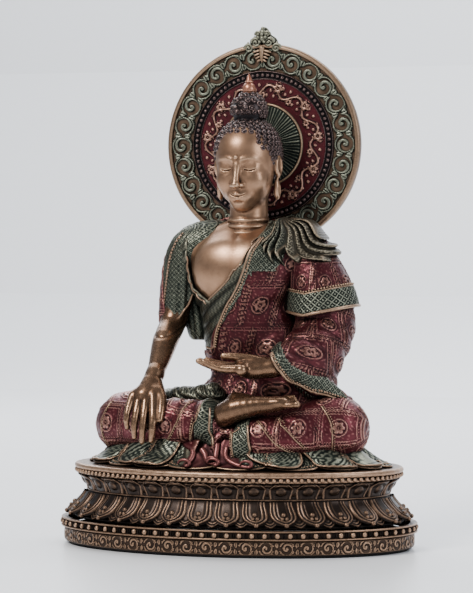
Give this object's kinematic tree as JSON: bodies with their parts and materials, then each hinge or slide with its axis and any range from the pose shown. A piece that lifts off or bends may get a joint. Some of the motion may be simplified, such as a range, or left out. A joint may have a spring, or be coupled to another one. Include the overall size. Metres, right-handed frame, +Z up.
{
  "type": "seated figure statue",
  "caption": "Seated earth-touching figure in a draped robe on an oval double-lotus base, with a round halo that lifts out of a socket on its back.",
  "frame": {"origin": "centre of the underside of the felt pad", "axes": "+Z up, the figure faces -Y, +X towards the figure's left hand"},
  "size_m": [0.18, 0.1186, 0.2542],
  "materials": {
    "felt": "pressed felt",
    "base_resin": "raw cast resin",
    "base_bronze": "cold-cast bronze, dark antique",
    "skin_bronze": "cold-cast bronze, polished",
    "crimson_robe": "metallic crimson wash over bronze",
    "green_brocade": "dark green patina with rubbed bronze relief",
    "dark_hair": "dark patina with bronze glints",
    "copper": "copper-coloured",
    "halo_bronze": "cold-cast bronze, antique",
    "steel": "plain pin"
  },
  "bodies": {
    "statue": {"felt_pad": "felt", "bottom_plate": "base_resin", "plinth": "base_bronze", "plinth_bead_rail": "base_bronze", "lower_lotus": "base_bronze", "upper_lotus": "base_bronze", "seat_slab": "base_bronze", "slab_beads": "base_bronze", "seat_dowels": "steel", "skirt_hem": "green_brocade", "lap_robe": "crimson_robe", "right_foot": "skin_bronze", "torso": "skin_bronze", "under_robe": "green_brocade", "outer_robe": "crimson_robe", "right_shawl": "green_brocade", "right_arm": "skin_bronze", "arm_dowel": "steel", "left_sleeve": "crimson_robe", "sleeve_band": "green_brocade", "left_hand": "skin_bronze", "wrist_dowel": "steel", "head": "skin_bronze", "neck_dowel": "steel", "hair": "dark_hair", "forehead_bead": "skin_bronze", "crown_jewel": "copper", "halo_socket": "base_bronze"},
    "halo": {"halo_plate": "halo_bronze", "halo_rim": "halo_bronze", "halo_scrolls": "green_brocade", "halo_bead_ring": "dark_hair", "halo_flower_panel": "crimson_robe", "halo_centre_disc": "green_brocade", "halo_crest": "halo_bronze", "halo_tang": "halo_bronze"}
  },
  "joints": [
    {"name": "halo_lift", "type": "slide", "parent": "statue", "child": "halo", "axis": [0, 0, 1], "range_m": [0, 0.04]}
  ]
}
